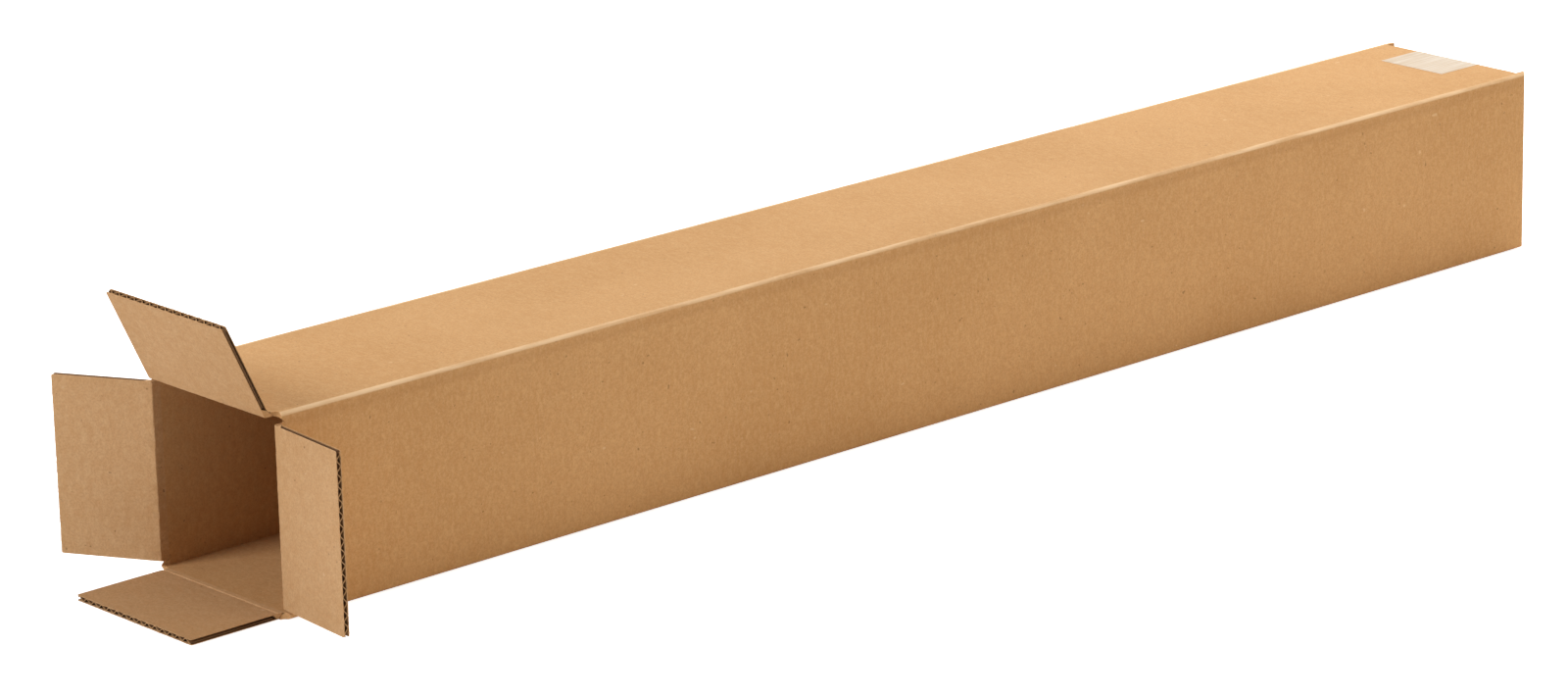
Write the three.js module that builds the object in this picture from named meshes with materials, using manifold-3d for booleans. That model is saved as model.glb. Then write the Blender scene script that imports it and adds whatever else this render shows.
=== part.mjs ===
// A long shipping box of single-wall corrugated board: a square tube with four flaps at each end.
// The far end is folded shut under a strip of clear tape, and the near end stands open.
// Millimetres, +Z up. X runs along the box, with the open end at -X.
// The origin is the middle of the bottom panel's underside.

import * as THREE from 'three';
import { mergeVertices } from 'three/addons/utils/BufferGeometryUtils.js';
import Module from 'manifold-3d';

// The closed box's inside.
const insideLength = 914.4;
const insideWidth = 101.6;
const insideHeight = 101.6;

// The board: two liners with a fluted medium glued between them.
const board = 3.0;
const liner = 0.35;
const medium = 0.3;
const flutePitch = 6.35;
const glueLine = 1.1;
// A channel that would come nearer than this to a panel's fold is left out.
const sideMargin = 0.2;
// The points along one wave of the medium, in shares of a pitch, that a channel's curve goes through.
const crestShares = [1 / 4, 5 / 12, 7 / 12, 3 / 4];

// Folds, flaps and slots.
const layerGap = 0.3;
const slotInset = 3.175;
const seamGap = 1.0;
const creaseGap = 0.35;
const pivotOut = 0.15;
const slotDepth = 0.6;
const foldSteps = 5;

// How far each near flap stands open, in degrees outward from straight.
const topOpen = 65;
const bottomOpen = 0;
const leftOpen = 60;
const rightOpen = 85;

// The glued tab inside the top panel's back corner.
const tabWidth = 35;
const tabSetback = 2;
const tabTaper = 10;
const overhangInset = 0.5;
const glueEdge = 1.2;
// How far the tab's fold turns before it goes under the top panel's edge, in degrees.
const tabFold = 60;

// The clear tape over the far end.
const tapeWidth = 48;
const tapeLap = 38.5;
const tapeThickness = 0.1;
const tapeLift = 0.05;
const tapeOffset = 3;

// A hair of overlap, so that folded stretches of one sheet fuse where they meet.
const weld = 0.01;
// How far a cutting shape reaches past what it cuts.
const clear = 2;

// What follows from the sizes above. The flaps are all alike, so either pair can go first:
// the top and bottom flaps close last at the near end, and the side flaps at the far end.
const outerWidth = insideWidth + 2 * board;
const outerHeight = insideHeight + 2 * board;
const wallY = insideWidth / 2;
const faceY = outerWidth / 2;
const endStack = 2 * board + layerGap;
const nearOuter = -insideLength / 2 - endStack;
const nearInner = nearOuter + board + layerGap;
const farOuter = insideLength / 2 + endStack;
const farInner = farOuter - board - layerGap;
const lidWidth = insideWidth - 2 * slotInset;
const sideWidth = insideHeight - 2 * slotInset;
const lidLength = (outerHeight - seamGap) / 2;
const sideLength = (outerWidth - seamGap) / 2;

const wasm = await Module();
wasm.setup();

const X = new THREE.Vector3(1, 0, 0);
const Y = new THREE.Vector3(0, 1, 0);
const Z = new THREE.Vector3(0, 0, 1);

// A closed mesh as a solid that can be joined and cut.
function solid(geometry) {
  const bare = geometry.clone();
  bare.deleteAttribute('normal');
  bare.deleteAttribute('uv');
  const merged = mergeVertices(bare, 1e-5);
  return new wasm.Manifold(new wasm.Mesh({
    numProp: 3,
    vertProperties: Float32Array.from(merged.attributes.position.array),
    triVerts: Uint32Array.from(merged.index.array),
  }));
}

// The solid back as a mesh geometry.
function geometryOf(body) {
  const mesh = body.getMesh();
  const geometry = new THREE.BufferGeometry();
  geometry.setAttribute('position', new THREE.BufferAttribute(mesh.vertProperties, 3));
  geometry.setIndex(new THREE.BufferAttribute(mesh.triVerts, 1));
  geometry.computeVertexNormals();
  return geometry;
}

function shapeOf(points) {
  return new THREE.Shape(points.map(([u, v]) => new THREE.Vector2(u, v)));
}

// Shapes drawn in the (u, v) plane, extruded along w from `from` to `to`.
// u, v and w are world directions, with u x v = w, and origin is where u = v = w = 0.
function prism(shapes, from, to, u, v, w, origin = new THREE.Vector3()) {
  const geometry = new THREE.ExtrudeGeometry(shapes, { depth: to - from, bevelEnabled: false, steps: 1 });
  geometry.translate(0, 0, from);
  geometry.applyMatrix4(new THREE.Matrix4().makeBasis(u, v, w).setPosition(origin));
  return solid(geometry);
}

function rectangle(u0, u1, v0, v1) {
  return shapeOf([[u0, v0], [u1, v0], [u1, v1], [u0, v1]]);
}

function block(x0, x1, y0, y1, z0, z1) {
  return prism(rectangle(y0, y1, z0, z1), x0, x1, Y, Z, X);
}

function arc(cu, cv, radius, startDeg, endDeg, steps) {
  const points = [];
  for (let i = 0; i <= steps; i += 1) {
    const angle = THREE.MathUtils.degToRad(startDeg + ((endDeg - startDeg) * i) / steps);
    points.push([cu + radius * Math.cos(angle), cv + radius * Math.sin(angle)]);
  }
  return points;
}

// One channel between the medium and a liner, as seen along the flutes.
// It runs from one glue line at u = start to the next, a pitch away.
// The board's outer face is at v = 0 and its inner face at v = -board.
function channel(start, underOuterLiner) {
  const amplitude = (board - 2 * liner - medium) / 2;
  const points = [[start + glueLine / 2, -liner]];
  for (const share of crestShares) {
    const phase = 2 * Math.PI * share;
    const slope = (amplitude * Math.sin(phase) * 2 * Math.PI) / flutePitch;
    const half = (medium / 2) * Math.hypot(1, slope);
    points.push([start + flutePitch * share, -board / 2 + amplitude * Math.cos(phase) + half]);
  }
  points.push([start + flutePitch - glueLine / 2, -liner]);
  if (underOuterLiner) {
    return shapeOf(points);
  }
  return shapeOf(points.map(([u, v]) => [u, -board - v]).reverse());
}

// All the channels that lie within the board's width, or also those that its side edges cut open.
// The flutes keep step with the middle of the board, so a flap's line up with its panel's.
function channels(width, openSides) {
  const shapes = [];
  const reach = width / 2 + (openSides ? flutePitch : 0) - sideMargin;
  const first = flutePitch / 4 - flutePitch * (Math.ceil(width / flutePitch) + 2);
  for (let crest = first; crest < width; crest += flutePitch / 2) {
    const outer = Math.round((crest - first) / (flutePitch / 2)) % 2 === 0;
    const inside = crest >= -reach && crest + flutePitch <= reach;
    if (inside) {
      shapes.push(channel(crest, outer));
    }
  }
  return shapes;
}

// A flat piece of board: flutes along w, outer face towards v, middle of its width at u = 0.
function flatBoard(width, from, to, u, v, w, origin) {
  const slab = prism(rectangle(-width / 2, width / 2, -board, 0), from, to, u, v, w, origin);
  return slab.subtract(prism(channels(width, true), from - clear, to + clear, u, v, w, origin));
}

// The tube's outline across the box: three rounded folds, and the top panel's cut edge lying
// over the fold of the glued tab at the top back corner.
function outline() {
  const y = faceY - board;
  const low = board;
  const high = outerHeight - board;
  return [
    ...arc(-y, low, board, 180, 270, foldSteps),
    ...arc(y, low, board, 270, 360, foldSteps),
    ...arc(y, high - board, board, 0, tabFold, foldSteps - 1),
    [y + glueEdge, high],
    [faceY - overhangInset, high],
    [faceY - overhangInset, outerHeight],
    ...arc(-y, high, board, 90, 180, foldSteps),
  ];
}

// The four panels as one length of tube, with the flutes running through every panel.
function tube(from, to) {
  const section = shapeOf(outline());
  section.holes.push(rectangle(-wallY, wallY, board, outerHeight - board));
  const middle = outerHeight / 2;
  const walls = [
    [insideWidth, Y, Z, X, new THREE.Vector3(0, 0, outerHeight)],
    [insideWidth, Y.clone().negate(), Z.clone().negate(), X, new THREE.Vector3(0, 0, 0)],
    [insideHeight, Z.clone().negate(), Y, X, new THREE.Vector3(0, faceY, middle)],
    [insideHeight, Z, Y.clone().negate(), X, new THREE.Vector3(0, -faceY, middle)],
  ];
  let body = prism(section, from, to, Y, Z, X);
  for (const [width, u, v, w, origin] of walls) {
    body = body.subtract(prism(channels(width, false), from - clear, to + clear, u, v, w, origin));
  }
  return body;
}

// The near end's creases: every panel end is mitred back from its fold line, like the half of a
// crease that a closing flap folds into. v points outward from the panel.
function mitre(fold, width, u, v, origin) {
  const outside = fold + creaseGap;
  const profile = shapeOf([
    [nearOuter - clear, clear],
    [outside - clear, clear],
    [outside + board + clear, -board - clear],
    [nearOuter - clear, -board - clear],
  ]);
  return prism(profile, -width / 2, width / 2, X, v, u, origin);
}

// A slot between two flaps ends in a round notch that wraps the tube's corner.
function notch(sideY, sideZ) {
  const radius = (slotInset + board / 2) / Math.SQRT2;
  const deepest = nearInner + slotDepth;
  const out = new THREE.Vector3(0, sideY, sideZ).normalize();
  const along = out.clone().cross(X);
  const points = [[nearOuter - clear, -radius], ...arc(deepest - radius, 0, radius, -90, 90, 2 * foldSteps)];
  points.push([nearOuter - clear, radius]);
  const corner = new THREE.Vector3(0, sideY * wallY, outerHeight / 2 + (sideZ * insideHeight) / 2);
  return prism(shapeOf(points), -2 * board, 3 * board, X, along, out, corner);
}

// A fold at the far end: the board turns a quarter round its inner liner, out to x.
// v points out of the tube, and u runs along the fold.
function farFold(x, width, u, v, origin) {
  const points = [[x - board, -board], ...arc(x - board, -board, board, 0, 90, foldSteps)];
  return prism(shapeOf(points), -width / 2, width / 2, X, v, u, origin);
}

// Two far flaps that face each other, folded flat against the end.
function farFlaps(x, width, length, faces) {
  return faces.map(({ start, inward, u }) => {
    const origin = start.clone().setX(x);
    return flatBoard(width, board - weld, length, u, X, inward, origin);
  });
}

// The tab is glued under the top panel, and its ends are cut at a slant.
function glueTab() {
  const from = nearInner + board + layerGap + tabSetback;
  const to = farInner - board - tabSetback;
  const middle = wallY - tabWidth / 2 + weld;
  const free = wallY - tabWidth;
  const origin = new THREE.Vector3(0, middle, outerHeight - board + weld);
  let tab = flatBoard(tabWidth, from, to, Y, Z, X, origin);
  for (const [end, inward] of [[from, 1], [to, -1]]) {
    const corner = [
      [end - inward * clear, free - clear],
      [end + inward * (tabTaper + clear), free - clear],
      [end + inward * tabTaper, free],
      [end, wallY - board],
      [end - inward * clear, wallY - board],
    ];
    const cut = shapeOf(inward > 0 ? corner : corner.reverse());
    tab = tab.subtract(prism(cut, outerHeight - 3 * board, outerHeight, X, Y, Z));
  }
  return tab;
}

// The whole folded sheet, apart from the four near flaps.
function boxBody() {
  const middle = outerHeight / 2;
  const left = Y;
  const right = Y.clone().negate();
  const up = Z;
  const down = Z.clone().negate();
  const topFace = new THREE.Vector3(0, 0, outerHeight);
  const bottomFace = new THREE.Vector3(0, 0, 0);
  const leftFace = new THREE.Vector3(0, faceY, middle);
  const rightFace = new THREE.Vector3(0, -faceY, middle);

  let body = tube(nearOuter + creaseGap, farOuter - board);
  const cuts = [
    mitre(nearOuter, outerWidth + clear, right, up, topFace),
    mitre(nearOuter, outerWidth + clear, left, down, bottomFace),
    mitre(nearInner, insideHeight, up, left, leftFace),
    mitre(nearInner, insideHeight, down, right, rightFace),
    notch(1, 1),
    notch(1, -1),
    notch(-1, 1),
    notch(-1, -1),
    block(farInner - board, farOuter, -wallY, wallY, outerHeight - board - clear, outerHeight + clear),
    block(farInner - board, farOuter, -wallY, wallY, -clear, board + clear),
  ];
  for (const cut of cuts) {
    body = body.subtract(cut);
  }

  const sleeve = prism(shapeOf(outline()), farOuter - board - clear, farOuter, Y, Z, X);
  const pieces = [
    farFold(farOuter, outerHeight, up, left, leftFace).intersect(sleeve),
    farFold(farOuter, outerHeight, down, right, rightFace).intersect(sleeve),
    farFold(farInner, lidWidth, right, up, topFace),
    farFold(farInner, lidWidth, left, down, bottomFace),
    ...farFlaps(farOuter, sideWidth, sideLength, [
      { start: leftFace, inward: right, u: down },
      { start: rightFace, inward: left, u: up },
    ]),
    ...farFlaps(farInner, lidWidth, lidLength, [
      { start: topFace, inward: down, u: left },
      { start: bottomFace, inward: up, u: right },
    ]),
    glueTab(),
  ];
  for (const piece of pieces) {
    body = body.add(piece);
  }
  return body;
}

// A near flap about its own crease: it runs towards -X, its outer face up, and its crease lies
// along Y at the origin, just outside its outer liner. The root is mitred like its panel's end.
function nearFlap(width, length) {
  const origin = new THREE.Vector3(0, 0, -pivotOut);
  const flap = flatBoard(width, -length, -creaseGap, Y, Z, X, origin);
  const wedge = shapeOf([
    [clear - creaseGap, clear],
    [clear, clear],
    [clear, -board - clear],
    [-creaseGap - board - clear, -board - clear],
  ]);
  return flap.subtract(prism(wedge, -width, width, X, Z, Y.clone().negate(), origin));
}

// The tape's path over the far end, at a height above the board: down from the top panel, round
// the inner flap's fold, straight to the outer flaps' edges, and the same again underneath.
function tapePath(height) {
  const radius = board + height;
  const foldX = farInner - board;
  const edge = [farOuter + height, outerHeight - board - slotInset];
  const dx = edge[0] - foldX;
  const dz = edge[1] - (outerHeight - board);
  const touch = Math.atan2(dz, dx) + Math.acos(radius / Math.hypot(dx, dz));
  const upper = [
    [farOuter - tapeLap, outerHeight + height],
    ...arc(foldX, outerHeight - board, radius, 90, THREE.MathUtils.radToDeg(touch), foldSteps),
    edge,
  ];
  const lower = upper.map(([x, z]) => [x, outerHeight - z]).reverse();
  return [...upper, ...lower];
}

function tape() {
  const outside = tapePath(tapeLift + tapeThickness);
  const inside = tapePath(tapeLift).reverse();
  const half = tapeWidth / 2;
  const origin = new THREE.Vector3(0, tapeOffset, 0);
  return prism(shapeOf([...outside, ...inside]), -half, half, X, Z, Y.clone().negate(), origin);
}

const kraft = { color: 0xc49a6c, roughness: 0.85, metalness: 0 };

function mesh(name, body, look) {
  const node = new THREE.Mesh(geometryOf(body), new THREE.MeshStandardMaterial(look));
  node.name = name;
  return node;
}

// A flap hung on its crease: turned to face its panel's side, then swung open.
function hungFlap(name, width, length, crease, facing, open) {
  const hinge = new THREE.Group();
  hinge.position.set(...crease);
  hinge.rotation.x = THREE.MathUtils.degToRad(facing);
  const flap = mesh(name, nearFlap(width, length), kraft);
  flap.rotation.y = THREE.MathUtils.degToRad(open);
  hinge.add(flap);
  return hinge;
}

const group = new THREE.Group();
group.add(mesh('box_body', boxBody(), kraft));
group.add(mesh('tape', tape(), { color: 0xf0e0cf, roughness: 0.25, metalness: 0 }));

const middleZ = outerHeight / 2;
const topCrease = [nearOuter, 0, outerHeight + pivotOut];
const bottomCrease = [nearOuter, 0, -pivotOut];
const leftCrease = [nearInner, faceY + pivotOut, middleZ];
const rightCrease = [nearInner, -faceY - pivotOut, middleZ];
group.add(hungFlap('flap_top', lidWidth, lidLength, topCrease, 0, topOpen));
group.add(hungFlap('flap_bottom', lidWidth, lidLength, bottomCrease, 180, bottomOpen));
group.add(hungFlap('flap_left', sideWidth, sideLength, leftCrease, -90, leftOpen));
group.add(hungFlap('flap_right', sideWidth, sideLength, rightCrease, 90, rightOpen));

export default group;
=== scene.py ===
# %% [markdown]
# # A long shipping box of corrugated board
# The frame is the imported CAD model: its sizes and hinges are fixed. This script dresses it. The
# flaps, their creases and the tape are modelled again in finer detail, and every surface gets its
# finish. Lengths in the frame are metres, so MM turns millimetres into metres.

# %% Load the frame
import math

import bpy
from mathutils import Matrix, Vector


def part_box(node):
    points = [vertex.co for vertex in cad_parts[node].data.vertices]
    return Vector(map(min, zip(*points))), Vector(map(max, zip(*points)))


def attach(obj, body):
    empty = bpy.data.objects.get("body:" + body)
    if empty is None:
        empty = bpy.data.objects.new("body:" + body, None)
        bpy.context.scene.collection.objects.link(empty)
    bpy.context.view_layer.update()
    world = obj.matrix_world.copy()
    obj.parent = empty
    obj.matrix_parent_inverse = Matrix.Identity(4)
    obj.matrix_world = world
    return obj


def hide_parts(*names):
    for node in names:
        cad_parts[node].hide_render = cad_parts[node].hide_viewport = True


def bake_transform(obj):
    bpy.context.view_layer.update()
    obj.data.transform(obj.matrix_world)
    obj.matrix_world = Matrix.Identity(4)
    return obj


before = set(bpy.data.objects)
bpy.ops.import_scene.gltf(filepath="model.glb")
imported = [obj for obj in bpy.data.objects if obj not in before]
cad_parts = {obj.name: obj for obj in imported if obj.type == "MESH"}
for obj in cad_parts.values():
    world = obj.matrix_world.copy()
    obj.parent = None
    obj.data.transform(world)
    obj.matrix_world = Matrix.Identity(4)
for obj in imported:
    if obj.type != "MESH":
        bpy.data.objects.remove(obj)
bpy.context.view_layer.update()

MM = 0.001

# %% [markdown]
# The board is two liners with a fluted medium between them. These are its sizes, the box's, and
# the places of the creases that the four flaps turn about. They are the CAD's own sizes, written
# once here, so that each new piece lies exactly where its CAD node does.

# %% Sizes
BOARD = 3.0 * MM
LINER = 0.35 * MM
MEDIUM = 0.3 * MM
PITCH = 6.35 * MM
WIDTH = 95.25 * MM
LENGTH = 53.3 * MM
PIVOT_OUT = 0.15 * MM
CREASE_GAP = 0.35 * MM
FLAP_INSET = 3.175 * MM
FACE_Y = 53.8 * MM
HEIGHT = 107.6 * MM
NEAR_OUTER = -463.5 * MM
NEAR_INNER = -460.2 * MM
FAR_OUTER = 463.5 * MM
FAR_INNER = 460.2 * MM
SAME_PLACE = 0.01 * MM

# Each flap: its CAD node, its body, its crease's middle, how its face is turned about X, and how
# far it stands open. The angles are degrees.
FLAPS = {
    "top": (
        "flap_top", "top_flap", (NEAR_OUTER, 0, HEIGHT + PIVOT_OUT), 0, 65),
    "bottom": (
        "flap_bottom", "bottom_flap", (NEAR_OUTER, 0, -PIVOT_OUT), 180, 0),
    "left": (
        "flap_left", "left_flap", (NEAR_INNER, FACE_Y + PIVOT_OUT, HEIGHT / 2), -90, 60),
    "right": (
        "flap_right", "right_flap", (NEAR_INNER, -FACE_Y - PIVOT_OUT, HEIGHT / 2), 90, 85),
}
for name, (node, *_) in FLAPS.items():
    low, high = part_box(node)
    print(name, "flap", [round(v / MM, 1) for v in low], [round(v / MM, 1) for v in high])

# %% [markdown]
# An operator acts on all that is selected, so every new piece starts from a clean selection. Some
# pieces need only some of their vertices moved or cut, and those are picked by their place.

# %% Helpers for the selection


def fresh():
    """Leaves nothing selected."""
    if bpy.context.object and bpy.context.object.mode != "OBJECT":
        bpy.ops.object.mode_set(mode="OBJECT")
    bpy.ops.object.select_all(action="DESELECT")


def only(obj):
    """Selects one object and makes it active."""
    fresh()
    obj.select_set(True)
    bpy.context.view_layer.objects.active = obj


def edit(obj, mode="VERT"):
    """Opens an object in edit mode with nothing selected."""
    only(obj)
    bpy.ops.object.mode_set(mode="EDIT")
    bpy.ops.mesh.select_mode(type=mode)
    bpy.ops.mesh.select_all(action="DESELECT")


def pick(obj, test):
    """Selects the vertices whose place passes the test, from inside edit mode."""
    bpy.ops.mesh.select_all(action="DESELECT")
    bpy.ops.object.mode_set(mode="OBJECT")
    for vertex in obj.data.vertices:
        vertex.select = bool(test(vertex.co))
    bpy.ops.object.mode_set(mode="EDIT")


def apply_all(obj):
    """Applies the object's modifiers, first to last."""
    only(obj)
    for modifier in list(obj.modifiers):
        bpy.ops.object.modifier_apply(modifier=modifier.name)


# %% [markdown]
# The medium, the creases and the tape are all sheets that bend one way only. Such a sheet could be
# a bent plane, but one edge that lies along Y, extruded step by step through the points of a path,
# makes any of them and follows its path exactly.

# %% Helper for a folded strip


def strip(name, path, width, cuts):
    """Extrudes an edge along Y through a path of (x, z) points. It has so many cuts across."""
    fresh()
    x, z = path[0]
    bpy.ops.mesh.primitive_plane_add(size=width, location=(x, 0, z))
    obj = bpy.context.object
    obj.name = name
    edit(obj)
    pick(obj, lambda co: co.x > 0)
    bpy.ops.mesh.delete(type="VERT")
    bpy.ops.mesh.select_all(action="SELECT")
    bpy.ops.transform.translate(value=(width / 2, 0, 0))
    bpy.ops.mesh.subdivide(number_cuts=cuts)
    bpy.ops.mesh.select_all(action="SELECT")
    for (x0, z0), (x1, z1) in zip(path, path[1:]):
        step = (x1 - x0, 0, z1 - z0)
        bpy.ops.mesh.extrude_edges_move(TRANSFORM_OT_translate={"value": step})
    bpy.ops.object.mode_set(mode="OBJECT")
    bpy.ops.object.transform_apply(location=True, rotation=True, scale=True)
    return obj


# %% [markdown]
# The fluted medium is a wave of thinner paper. One pitch of it is a strip along a sine, an array
# repeats it across the flap, and solidify gives it the paper's thickness. An array is chosen
# because the flutes are all alike. They run along the flap, so their ends show in its free edge.

# %% The medium
WAVE_STEPS = 12
WAVE_CUTS = 7
MEDIUM_START = -3.3 * MM
MEDIUM_SHORT = 0.15 * MM

amplitude = (BOARD - 2 * LINER - MEDIUM) / 2
wave = []
for i in range(WAVE_STEPS + 1):
    share = i / WAVE_STEPS
    wave.append((share * PITCH, -amplitude * math.sin(2 * math.pi * share)))
reach = LENGTH + MEDIUM_START - MEDIUM_SHORT
medium = strip("medium", wave, reach, WAVE_CUTS)
array = medium.modifiers.new("repeat", "ARRAY")
array.count = round(WIDTH / PITCH)
array.use_relative_offset = False
array.use_constant_offset = True
array.constant_offset_displace = (PITCH, 0, 0)
array.use_merge_vertices = True
array.merge_threshold = SAME_PLACE
paper = medium.modifiers.new("paper", "SOLIDIFY")
paper.thickness = MEDIUM
paper.offset = 0
apply_all(medium)
edit(medium)
bpy.ops.mesh.select_all(action="SELECT")
bpy.ops.transform.translate(value=(-WIDTH / 2, 0, -PIVOT_OUT - BOARD / 2))
bpy.ops.object.mode_set(mode="OBJECT")
medium.rotation_euler.z = math.radians(90)
medium.location.x = MEDIUM_START - reach / 2
bpy.ops.object.transform_apply(location=True, rotation=True, scale=True)
print("medium", len(medium.data.polygons), "faces", [round(v / MM, 1) for v in medium.dimensions])

# %% [markdown]
# A liner is a sheet of paper with its two free corners rounded by handling. A thin cube with two
# of its upright edges bevelled gives that. The outer liner starts at the crease and the inner one
# a board's thickness further out, because the flap's root is mitred.

# %% The two liners
CORNER = 0.9 * MM
CORNER_STEPS = 6


def liner(name, start, z):
    """A sheet of liner paper from start to the flap's free edge, its middle at height z."""
    fresh()
    length = LENGTH - start
    bpy.ops.mesh.primitive_cube_add(size=1, location=(-start - length / 2, 0, z))
    obj = bpy.context.object
    obj.name = name
    obj.scale = (length, WIDTH, LINER)
    bpy.ops.object.transform_apply(location=True, rotation=True, scale=True)
    edit(obj, "EDGE")
    bpy.ops.object.mode_set(mode="OBJECT")
    points = obj.data.vertices
    for edge in obj.data.edges:
        a, b = (points[i].co for i in edge.vertices)
        edge.select = abs(a.z - b.z) > LINER / 2 and a.x < -LENGTH + SAME_PLACE
    bpy.ops.object.mode_set(mode="EDIT")
    bpy.ops.mesh.bevel(offset=CORNER, segments=CORNER_STEPS, affect="EDGES")
    bpy.ops.object.mode_set(mode="OBJECT")
    return obj


outer = liner("outer liner", CREASE_GAP, -PIVOT_OUT - LINER / 2)
inner = liner("inner liner", CREASE_GAP + BOARD, -PIVOT_OUT - BOARD + LINER / 2)
print("liners", [[round(v / MM, 1) for v in sheet.dimensions] for sheet in (outer, inner)])

# %% [markdown]
# Handling also wears the cut edge: it isn't a clean line any more. Bisecting the liners many times
# across gives that edge enough vertices to move later. The medium loses its corners where the
# liners did. Then the three papers become one piece, as the glue makes them.

# %% Many cuts across, and one pattern for the flaps
EDGE_PIECES = 96

for sheet in (outer, inner):
    edit(sheet)
    for cut in range(1, EDGE_PIECES):
        y = -WIDTH / 2 + cut * WIDTH / EDGE_PIECES
        bpy.ops.mesh.select_all(action="SELECT")
        bpy.ops.mesh.bisect(plane_co=(0, y, 0), plane_no=(0, 1, 0))
    bpy.ops.object.mode_set(mode="OBJECT")
for corner in (-1, 1):
    edit(medium)
    bpy.ops.mesh.select_all(action="SELECT")
    place = (-LENGTH, corner * (WIDTH / 2 - CORNER), 0)
    bpy.ops.mesh.bisect(plane_co=place, plane_no=(-1, corner, 0), clear_outer=True)
    bpy.ops.object.mode_set(mode="OBJECT")
only(outer)
inner.select_set(True)
medium.select_set(True)
bpy.ops.object.join()
pattern = bpy.context.object
pattern.name = "flap_pattern"
print("one flap has", len(pattern.data.polygons), "faces")

# %% [markdown]
# Between the liners it is dark, because no light gets far into a flute. A finish could look for
# that with ambient occlusion, but a flap turns and its hollows turn with it. So each vertex keeps
# how far it lies from the free edge and how deep in the board, and the finish reads those.

# %% Two attributes for the hollows
inset = pattern.data.attributes.new("inset", "FLOAT", "POINT")
depth = pattern.data.attributes.new("depth", "FLOAT", "POINT")
for vertex in pattern.data.vertices:
    inset.data[vertex.index].value = vertex.co.x + LENGTH
    from_outer = -PIVOT_OUT - vertex.co.z
    depth.data[vertex.index].value = min(from_outer, BOARD - from_outer)
print("attributes", [attribute.name for attribute in (inset, depth)])

# %% [markdown]
# The four flaps are cut alike, so the pattern is copied for each, with its own mesh. Small random
# moves of the free edge's vertices give each its own wear. Then it is set on its crease: turned
# open about Y, turned to its panel's side about X, and moved there.

# %% Four flaps
EDGE_DEPTH = 0.05 * MM
EDGE_WEAR = 0.16 * MM
EDGE_SEED = 3
FLAP_SMOOTH = math.radians(35)

boards = {}
for number, (name, (node, body, crease, facing, opened)) in enumerate(FLAPS.items()):
    flap = pattern.copy()
    flap.data = pattern.data.copy()
    bpy.context.collection.objects.link(flap)
    flap.name = f"{name}_flap_board"
    edit(flap)
    pick(flap, lambda co: co.x < -LENGTH + EDGE_DEPTH)
    bpy.ops.transform.vertex_random(offset=EDGE_WEAR, seed=number + EDGE_SEED)
    bpy.ops.object.mode_set(mode="OBJECT")
    to_side = Matrix.Rotation(math.radians(facing), 4, "X")
    to_open = Matrix.Rotation(math.radians(opened), 4, "Y")
    flap.matrix_world = Matrix.Translation(crease) @ to_side @ to_open
    only(flap)
    bpy.ops.object.transform_apply(location=True, rotation=True, scale=True)
    bpy.ops.object.shade_smooth_by_angle(angle=FLAP_SMOOTH)
    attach(flap, body)
    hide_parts(node)
    boards[name] = flap
bpy.data.objects.remove(pattern)
print("flaps", sorted(boards))

# %% [markdown]
# The sheet isn't cut at a crease: it bends. Each crease is a wedge of board that fills the space
# between the panel's mitred end and the flap's. Its ridge is the pressed fold line, which the
# photograph shows as a slightly uneven edge, or as a shallow groove where the flap lies flat.

# %% The shape of a crease
CORNER_IN = CREASE_GAP + BOARD
DEPTH = PIVOT_OUT + BOARD
RIDGE_BACK = 0.12 * MM
RIDGE_MOST = 3.5 * MM

# The ridge's points: how far each leans from the fold's middle, in degrees, and how much it rises.
OPENED_RIDGE = ((-4, 0), (4, 0))
FLAT_RIDGE = ((-16, 0), (-9, 0.25 * MM), (0, -0.35 * MM), (9, 0.1 * MM))


def turned(point, angle):
    """An (x, z) point turned about the crease by an opening angle."""
    c, s = math.cos(angle), math.sin(angle)
    return (point[0] * c + point[1] * s, -point[0] * s + point[1] * c)


def crease_points(opened):
    """The panel's inner and outer corners, the ridge, and the flap's inner and outer corners."""
    angle = math.radians(opened)
    radius = min(DEPTH / math.cos(angle / 2) - RIDGE_BACK, RIDGE_MOST)
    ridge = []
    for lean, rise in OPENED_RIDGE if opened else FLAT_RIDGE:
        ridge.append(turned((0, -radius - rise), angle / 2 + math.radians(lean)))
    panel_in, panel_out = (CORNER_IN, -DEPTH), (CREASE_GAP, -PIVOT_OUT)
    flap_in = turned((-CORNER_IN, -DEPTH), angle)
    flap_out = turned((-CREASE_GAP, -PIVOT_OUT), angle)
    return panel_in, panel_out, ridge, flap_in, flap_out


print("ridge points", len(OPENED_RIDGE), "opened and", len(FLAT_RIDGE), "flat")

# %% [markdown]
# A rigid wedge would tear open as soon as its flap moves. Each one here is rigid, built for its
# flap's present opening, and joined to no body.

# %% Four creases
CREASE_CUTS = 63
WELD = 0.001 * MM
FOLD_WEAR = 0.14 * MM
FOLD_SEED = 11
CREASE_SMOOTH = math.radians(24)

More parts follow.
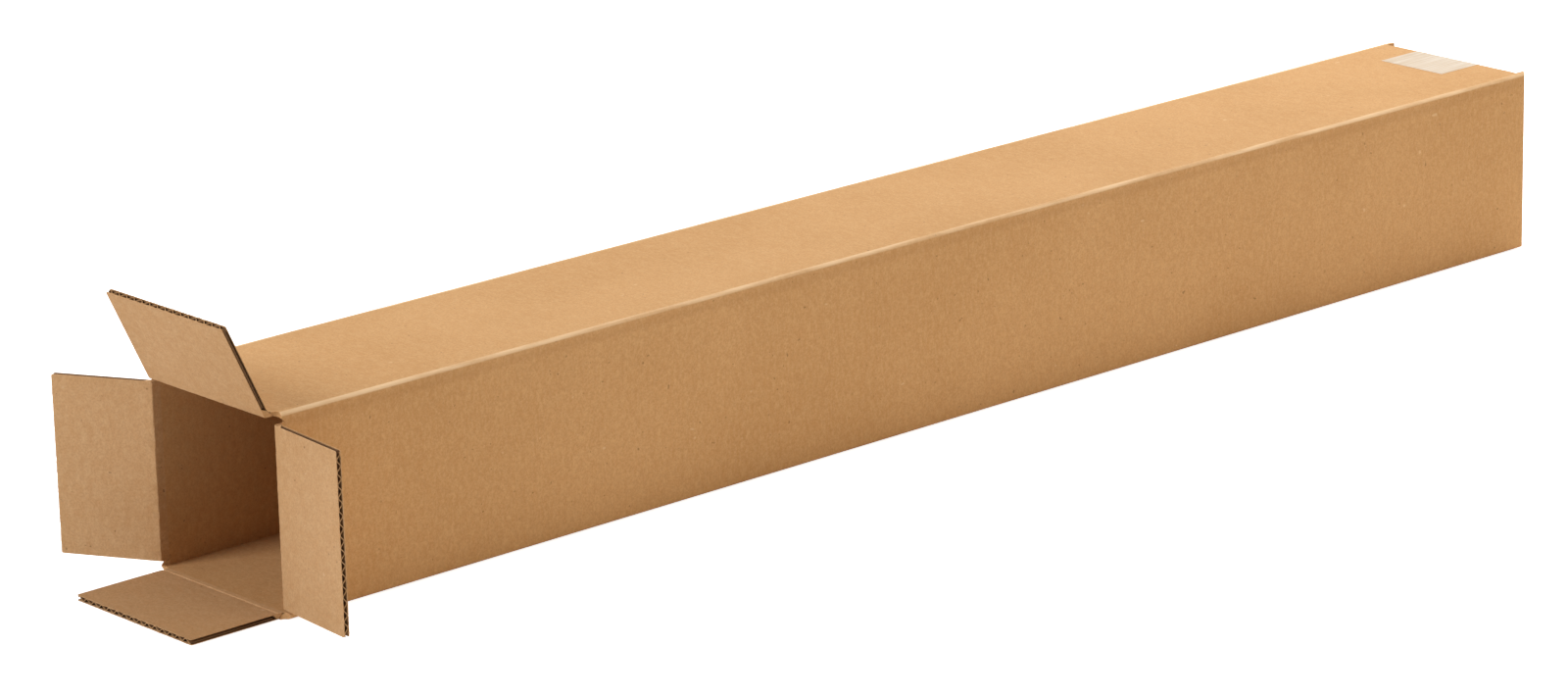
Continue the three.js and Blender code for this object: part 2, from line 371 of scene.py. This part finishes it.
creases = {}
for number, (name, (_, body, crease, facing, opened)) in enumerate(FLAPS.items()):
    panel_in, panel_out, ridge, flap_in, flap_out = crease_points(opened)
    path = [panel_out, panel_in, *ridge, flap_in, flap_out, panel_out]
    wedge = strip(f"{name}_crease", path, WIDTH, CREASE_CUTS)
    edit(wedge)
    bpy.ops.mesh.select_all(action="SELECT")
    bpy.ops.mesh.remove_doubles(threshold=WELD)
    for side in (-1, 1):
        pick(wedge, lambda co: co.y * side > WIDTH / 2 - SAME_PLACE)
        bpy.ops.mesh.edge_face_add()
    pick(wedge, lambda co: min(math.dist((co.x, co.z), p) for p in ridge) < SAME_PLACE)
    bpy.ops.transform.vertex_random(offset=FOLD_WEAR, seed=number + FOLD_SEED)
    bpy.ops.mesh.select_all(action="SELECT")
    bpy.ops.mesh.normals_make_consistent(inside=False)
    bpy.ops.object.mode_set(mode="OBJECT")
    place = Matrix.Translation(crease) @ Matrix.Rotation(math.radians(facing), 4, "X")
    wedge.matrix_world = place
    only(wedge)
    bpy.ops.object.transform_apply(location=True, rotation=True, scale=True)
    bpy.ops.object.shade_smooth_by_angle(angle=CREASE_SMOOTH)
    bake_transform(wedge)
    creases[name] = wedge
print("creases", sorted(creases))

# %% [markdown]
# The tape is a thin clear film that runs from the top panel over the end and under the bottom. It
# clings to the top panel's fold as far as the end's outer flap lets it, and from there it is
# stretched straight. The path is worked out for the upper half and mirrored for the lower one.

# %% The path of the tape
TAPE_LIFT = 0.1 * MM
TAPE_BACK = 0.1 * MM
TOOTH_ROOM = 1.2 * MM
FOLD_STEPS = 6

low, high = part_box("tape")
TAPE_WIDTH = high[1] - low[1]
radius = BOARD + TAPE_LIFT
centre = (FAR_INNER - BOARD, HEIGHT - BOARD)
flap_edge = (FAR_OUTER + TAPE_LIFT, HEIGHT - BOARD - FLAP_INSET)
away = (flap_edge[0] - centre[0], flap_edge[1] - centre[1])
first = math.radians(90)
last = math.atan2(away[1], away[0]) + math.acos(radius / math.hypot(*away))
upper = [(low[0] + back, HEIGHT + TAPE_LIFT) for back in (TAPE_BACK, TOOTH_ROOM)]
for i in range(FOLD_STEPS + 1):
    turn = first + (last - first) * i / FOLD_STEPS
    upper.append((centre[0] + radius * math.cos(turn), centre[1] + radius * math.sin(turn)))
upper.append(flap_edge)
tape_path = upper + [(x, HEIGHT - z) for x, z in reversed(upper)]
print("tape path", len(tape_path), "points")

# %% [markdown]
# The near end of the tape was torn off against a dispenser's teeth, so it is slightly zigzag:
# every second vertex there is moved back. Solidify gives the film its thickness, because a sheet
# without any has no inside for light to pass through.

# %% The tape
TAPE_TRIM = 0.1 * MM
TAPE_CUTS = 95
TORN_EDGE = 0.2 * MM
TOOTH = 0.7 * MM
FILM = 0.06 * MM
TAPE_SMOOTH = math.radians(40)

tape = strip("tape_film", tape_path, TAPE_WIDTH - TAPE_TRIM, TAPE_CUTS)
edit(tape)
rows = sorted({round(v.co.y, 6) for v in tape.data.vertices})
teeth = {y: i % 2 for i, y in enumerate(rows)}
pick(tape, lambda co: co.x < low[0] + TORN_EDGE and teeth.get(round(co.y, 6)))
bpy.ops.transform.translate(value=(TOOTH, 0, 0))
bpy.ops.mesh.select_all(action="SELECT")
bpy.ops.transform.translate(value=(0, (low[1] + high[1]) / 2, 0))
bpy.ops.mesh.normals_make_consistent(inside=False)
bpy.ops.object.mode_set(mode="OBJECT")
film = tape.modifiers.new("film", "SOLIDIFY")
film.thickness = FILM
film.offset = 0
apply_all(tape)
bpy.ops.object.shade_smooth_by_angle(angle=TAPE_SMOOTH)
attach(tape, "body")
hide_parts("tape")
print("tape", [round(v / MM, 1) for v in tape.dimensions])

# %% [markdown]
# A finish is a tree of shader nodes. These helpers add one kind of node each and join it up, so a
# finish below reads as a list of what it is made of.

# %% Helpers for materials
MIX_FACTOR, MIX_A, MIX_B, MIX_RESULT = 0, 6, 7, 2
EVEN = (1, 1, 1)


def node_of(tree, kind, **settings):
    """Adds a shader node and sets its properties."""
    made = tree.nodes.new(kind)
    for key, value in settings.items():
        setattr(made, key, value)
    return made


def material(name):
    """A new material with its node tree and its shader."""
    made = bpy.data.materials.new(name)
    made.use_nodes = True
    return made, made.node_tree, made.node_tree.nodes["Principled BSDF"]


def feed(tree, given, socket):
    """Gives an input a fixed value, or joins another node's output to it."""
    if isinstance(given, (float, int, tuple)):
        socket.default_value = given
    else:
        tree.links.new(given, socket)


def noise(tree, source, stretch, size, detail=3.0, rough=0.55):
    """A noise value over coordinates that are stretched along each axis."""
    mapping = node_of(tree, "ShaderNodeVectorMath", operation="MULTIPLY")
    feed(tree, source, mapping.inputs[0])
    feed(tree, stretch, mapping.inputs[1])
    texture = node_of(tree, "ShaderNodeTexNoise")
    for key, number in (("Scale", size), ("Detail", detail), ("Roughness", rough)):
        feed(tree, number, texture.inputs[key])
    feed(tree, mapping.outputs["Vector"], texture.inputs["Vector"])
    return texture.outputs["Fac"]


def ramp(tree, value, low, high, to_low, to_high):
    """A value mapped from one range to another, smoothly."""
    made = node_of(tree, "ShaderNodeMapRange", interpolation_type="SMOOTHSTEP")
    limits = (("From Min", low), ("From Max", high), ("To Min", to_low), ("To Max", to_high))
    for key, number in limits:
        feed(tree, number, made.inputs[key])
    feed(tree, value, made.inputs["Value"])
    return made.outputs["Result"]


def mixed(tree, fac, a, b, blend="MIX"):
    """Two colours mixed by a value."""
    made = node_of(tree, "ShaderNodeMix", data_type="RGBA", blend_type=blend)
    for index, given in ((MIX_FACTOR, fac), (MIX_A, a), (MIX_B, b)):
        feed(tree, given, made.inputs[index])
    return made.outputs[MIX_RESULT]


def math_of(tree, operation, a, b=0.0):
    """A math node of two values."""
    made = node_of(tree, "ShaderNodeMath", operation=operation)
    feed(tree, a, made.inputs[0])
    feed(tree, b, made.inputs[1])
    return made.outputs[0]


# %% [markdown]
# Kraft liner is matt and uneven: broad clouds, faint streaks across the box, a mottle, a fine
# grain of fibres, dark specks and pale flecks. Each is one layer of noise laid over the last. A
# photograph of paper would be quicker, but noise has no seams and no end. All layers read the
# piece's own coordinates, so nothing shifts when a flap turns.

# %% Colours and layers of kraft
CLOUD_LOW = (0.56, 0.315, 0.135, 1)
CLOUD_HIGH = (0.62, 0.36, 0.165, 1)
# A darker kraft tone: the fibre grain, and also the painted shade band below the top folds.
DARK = (0.40, 0.205, 0.078, 1)
PALE = (0.72, 0.48, 0.26, 1)
SPECK = (0.2, 0.1, 0.04, 1)
FLECK = (0.8, 0.62, 0.42, 1)
HOLLOW = (0.1, 0.045, 0.018, 1)
# Pale colour of the rubbed top folds: partly real wear, partly a painted highlight where light
# catches the fold.
RUBBED_HIGHLIGHT = (0.82, 0.58, 0.34, 1)
BODY_TINT = (1.0, 0.96, 0.86, 1)
CLOUD_SIZE, CLOUD_DETAIL = 9, 2
NOISE_LOW, NOISE_HIGH = 0.3, 0.7

# Each layer: its stretch, size, detail and roughness, the noise values where it starts and where
# it is full, how strong it is there, and its colour.
LAYERS = {
    "streaks": ((70, 12, 12), 6, 4, 0.7, 0.35, 0.75, 0.14, PALE),
    "mottle": ((1.6, 0.8, 0.8), 260, 5, 0.75, 0.38, 0.66, 0.34, PALE),
    "grain": (EVEN, 900, 4, 0.7, 0.32, 0.7, 0.42, DARK),
    "specks": (EVEN, 420, 1, 0.3, 0.765, 0.82, 0.55, SPECK),
    "flecks": ((0.7, 1.3, 1.3), 210, 1, 0.3, 0.8, 0.84, 0.35, FLECK),
}
print("kraft layers", list(LAYERS))

# %% [markdown]
# The two long top folds are rubbed pale in patches, with a painted highlight where light catches
# the rounded fold, and the side below them, where the board was pressed, gets a band of painted
# shade.
# Both are worked out from a point's distance to the fold. In the flaps the hollows turn dark
# behind the free edge.

# %% Rubbed folds with painted highlight and shade, and dark hollows
SIDE_SKIN = 0.5 * MM
SHADE_BAND_BELOW = 6.0 * MM
SHADE_BAND_HALF = 4.0 * MM
SHADE_BAND_MOST = 0.22
RUB_HIGHLIGHT_FULL = 1.95 * MM
RUB_HIGHLIGHT_NONE = 2.4 * MM
PATCH_STRETCH = (6, 60, 60)
PATCH_SIZE, PATCH_DETAIL, PATCH_LEAST = 4, 3, 0.3
HOLLOW_STARTS, HOLLOW_FULL, HOLLOW_MOST = 0.1 * MM, 1.2 * MM, 0.78
UNDER_STARTS, UNDER_FULL = 0.28 * MM, 0.4 * MM


def worn_folds_with_painted_light(tree, where, colour):
    """The colour with the body's tint, a painted shade band, and worn folds with painted
    highlight.
    """
    parts = node_of(tree, "ShaderNodeSeparateXYZ")
    feed(tree, where, parts.inputs[0])
    side = math_of(tree, "ABSOLUTE", parts.outputs["Y"])
    from_side = math_of(tree, "SUBTRACT", FACE_Y, side)
    from_top = math_of(tree, "SUBTRACT", HEIGHT, parts.outputs["Z"])
    # Painted shade: a darker band on the long sides, centred a little below the top folds.
    on_side = math_of(tree, "LESS_THAN", from_side, SIDE_SKIN)
    off_shade_band = math_of(tree, "ABSOLUTE", math_of(tree, "SUBTRACT", from_top, SHADE_BAND_BELOW))
    shade_band = ramp(tree, off_shade_band, 0.0, SHADE_BAND_HALF, SHADE_BAND_MOST, 0.0)
    colour = mixed(tree, math_of(tree, "MULTIPLY", shade_band, on_side), colour, DARK)
    colour = mixed(tree, 1.0, colour, BODY_TINT, "MULTIPLY")
    # Painted highlight mixed with pale wear along the two long top folds, in noisy patches.
    from_fold = math_of(tree, "ADD", from_side, from_top)
    rubbed_highlight = ramp(tree, from_fold, RUB_HIGHLIGHT_FULL, RUB_HIGHLIGHT_NONE, 1.0, 0.0)
    patches = noise(tree, where, PATCH_STRETCH, PATCH_SIZE, PATCH_DETAIL)
    patches = ramp(tree, patches, NOISE_LOW, NOISE_HIGH, PATCH_LEAST, 1.0)
    return mixed(tree, math_of(tree, "MULTIPLY", rubbed_highlight, patches), colour, RUBBED_HIGHLIGHT)


def dark_hollows(tree, colour):
    """The colour, turned dark between the liners behind the free edge."""
    behind = node_of(tree, "ShaderNodeAttribute", attribute_name="inset").outputs["Fac"]
    under = node_of(tree, "ShaderNodeAttribute", attribute_name="depth").outputs["Fac"]
    behind = ramp(tree, behind, HOLLOW_STARTS, HOLLOW_FULL, 0.0, HOLLOW_MOST)
    under = ramp(tree, under, UNDER_STARTS, UNDER_FULL, 0.0, 1.0)
    return mixed(tree, math_of(tree, "MULTIPLY", behind, under), colour, HOLLOW)


# %% [markdown]
# The body and the flaps are the same paper, so one function makes both finishes. The body has the
# worn folds with their painted highlight and shade, and the flaps have the open edges. A weak bump
# of fine noise makes the paper's tooth.

# %% Kraft board
KRAFT_ROUGH = 0.82
KRAFT_SHINE = 0.25
TOOTH_SIZE, TOOTH_DETAIL, TOOTH_ROUGH = 700, 4, 0.65
BUMP_STRENGTH = 0.5
BUMP_HEIGHT = 0.12 * MM


def kraft(name, is_body):
    """Kraft liner for the body, with its worn folds and their painted highlight and shade, or for
    the flaps, with their open edges.
    """
    made, tree, shader = material(name)
    where = node_of(tree, "ShaderNodeTexCoord").outputs["Object"]
    clouds = noise(tree, where, EVEN, CLOUD_SIZE, CLOUD_DETAIL)
    clouds = ramp(tree, clouds, NOISE_LOW, NOISE_HIGH, 0.0, 1.0)
    colour = mixed(tree, clouds, CLOUD_LOW, CLOUD_HIGH)
    amounts = {}
    for layer, (stretch, size, detail, rough, starts, full, most, tone) in LAYERS.items():
        value = noise(tree, where, stretch, size, detail, rough)
        amounts[layer] = ramp(tree, value, starts, full, 0.0, most)
        colour = mixed(tree, amounts[layer], colour, tone)
    colour = worn_folds_with_painted_light(tree, where, colour) if is_body else dark_hollows(tree, colour)
    feed(tree, colour, shader.inputs["Base Color"])
    feed(tree, KRAFT_ROUGH, shader.inputs["Roughness"])
    feed(tree, KRAFT_SHINE, shader.inputs["Specular IOR Level"])
    tooth = noise(tree, where, EVEN, TOOTH_SIZE, TOOTH_DETAIL, TOOTH_ROUGH)
    bump = node_of(tree, "ShaderNodeBump")
    feed(tree, BUMP_STRENGTH, bump.inputs["Strength"])
    feed(tree, BUMP_HEIGHT, bump.inputs["Distance"])
    feed(tree, math_of(tree, "ADD", tooth, amounts["streaks"]), bump.inputs["Height"])
    feed(tree, bump.outputs["Normal"], shader.inputs["Normal"])
    return made


body_kraft = kraft("body kraft", is_body=True)
flap_kraft = kraft("flap kraft", is_body=False)
print("materials", body_kraft.name, flap_kraft.name)

# %% [markdown]
# Box tape is a clear film with a milky adhesive. It shows the board through it, lighter, and it
# has a soft shine. A real film scatters light inside, but a pale colour that is partly see-through
# looks the same at this size and bakes well. The streaks are where the adhesive was stretched.

# %% Tape film
TAPE_ROUGH = 0.28
TAPE_ALPHA = 0.72
STREAK_STRETCH = (6, 160, 6)
STREAK_SIZE, STREAK_DETAIL = 5, 3
STREAK_STARTS, STREAK_FULL = 0.38, 0.62
MILK_LOW = (0.84, 0.68, 0.49, 1)
MILK_HIGH = (0.97, 0.86, 0.72, 1)

tape_look, tree, shader = material("tape film")
where = node_of(tree, "ShaderNodeTexCoord").outputs["Object"]
streaks = noise(tree, where, STREAK_STRETCH, STREAK_SIZE, STREAK_DETAIL)
streaks = ramp(tree, streaks, STREAK_STARTS, STREAK_FULL, 0.0, 1.0)
feed(tree, mixed(tree, streaks, MILK_LOW, MILK_HIGH), shader.inputs["Base Color"])
feed(tree, TAPE_ROUGH, shader.inputs["Roughness"])
feed(tree, TAPE_ALPHA, shader.inputs["Alpha"])
print("material", tape_look.name)

# %% [markdown]
# A CAD node keeps its mesh and only changes its material, as a new piece gets one.

# %% Put the materials on
finishes = [(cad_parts["box_body"], body_kraft), (tape, tape_look)]
finishes += [(piece, flap_kraft) for piece in (*boards.values(), *creases.values())]
for piece, finish in finishes:
    piece.data.materials.clear()
    piece.data.materials.append(finish)
print("finished pieces", len(finishes))

# %% [markdown]
# The picture is a cut-out on white. A pale floor that glows for the camera turns white, and keeps
# a faint shadow where the box touches it. For all other rays it hardly glows, so it doesn't light
# the box from below.

# %% Floor
FLOOR_SIZE = 40
FLOOR_DROP = 0.0004
FLOOR_COLOUR = (0.9, 0.9, 0.9, 1)
WHITE = (1, 1, 1, 1)
FLOOR_GLOW, FLOOR_GLOW_SEEN = 0.05, 0.82

fresh()
bpy.ops.mesh.primitive_plane_add(size=FLOOR_SIZE, location=(0, 0, -FLOOR_DROP))
floor = bpy.context.object
floor.name = "floor"
floor_look, tree, shader = material("floor")
feed(tree, FLOOR_COLOUR, shader.inputs["Base Color"])
feed(tree, 1.0, shader.inputs["Roughness"])
feed(tree, 0.0, shader.inputs["Specular IOR Level"])
feed(tree, WHITE, shader.inputs["Emission Color"])
ray = node_of(tree, "ShaderNodeLightPath")
glow = ramp(tree, ray.outputs["Is Camera Ray"], 0, 1, FLOOR_GLOW, FLOOR_GLOW_SEEN)
feed(tree, glow, shader.inputs["Emission Strength"])
floor.data.materials.append(floor_look)
print("floor", [round(v) for v in floor.dimensions])

# %% [markdown]
# The world is white behind the box and through the tape, and weak as a light, so that the inside
# of the box stays dark.

# %% World
WORLD_LIGHT, WORLD_SEEN = 0.22, 1.0

scene = bpy.context.scene
world = bpy.data.worlds.new("studio")
world.use_nodes = True
scene.world = world
tree = world.node_tree
background = tree.nodes["Background"]
feed(tree, WHITE, background.inputs["Color"])
ray = node_of(tree, "ShaderNodeLightPath")
seen = math_of(
    tree, "MAXIMUM", ray.outputs["Is Camera Ray"], ray.outputs["Is Transmission Ray"])
feed(tree, ramp(tree, seen, 0, 1, WORLD_LIGHT, WORLD_SEEN), background.inputs["Strength"])
print("world", world.name)

# %% [markdown]
# Three soft lights. The key hangs above the far end, so the top is the brightest side and gets
# brighter towards the tape. One lamp looks into the mouth and lights the flaps' inner faces, and a
# warm weak one fills the long front.

# %% Lights
# Each light: its place, the point that it looks at, its size, its power in watts and its tint.
LIGHTS = {
    "key": ((1.8, 0.5, 2.2), (0.15, 0, 0), 1.4, 82, (1, 1, 1)),
    "mouth light": ((-2.75, 0.55, 1.8), (-0.45, 0, 0.05), 1.2, 50, (1, 1, 1.06)),
    "front fill": ((0.6, -3.0, 1.0), (0.2, 0, 0.05), 1.6, 26, (1, 0.82, 0.6)),
}
for name, (place, target, size, power, tint) in LIGHTS.items():
    fresh()
    bpy.ops.object.light_add(type="AREA", location=place)
    lamp = bpy.context.object
    lamp.name = name
    lamp.data.size = size
    lamp.data.energy = power
    lamp.data.color = tint
    aim = Vector(target) - Vector(place)
    lamp.rotation_euler = aim.to_track_quat("-Z", "Y").to_euler()
    print("light", name, power, "W")

# %% [markdown]
# The camera looks at the box from the open end's side, a little from above, with a long lens. Its
# place and its three axes come from a fit of the box's corners to the photograph.

# %% Camera
CAMERA_PLACE = (-2.075, -2.22836, 0.95399)
CAMERA_RIGHT = (0.740688, -0.671497, -0.021734)
CAMERA_UP = (0.21062, 0.201361, 0.956605)
CAMERA_BACK = (-0.637981, -0.713124, 0.290577)
LENS = 132.87
SENSOR = 36
FAR_CLIP = 100

bpy.ops.object.camera_add()
camera = bpy.context.object
axes = Matrix((CAMERA_RIGHT, CAMERA_UP, CAMERA_BACK)).transposed().to_4x4()
camera.matrix_world = Matrix.Translation(CAMERA_PLACE) @ axes
camera.data.lens = LENS
camera.data.sensor_width = SENSOR
camera.data.clip_end = FAR_CLIP
scene.camera = camera
scene.view_settings.view_transform = "Standard"
print("camera", CAMERA_PLACE)
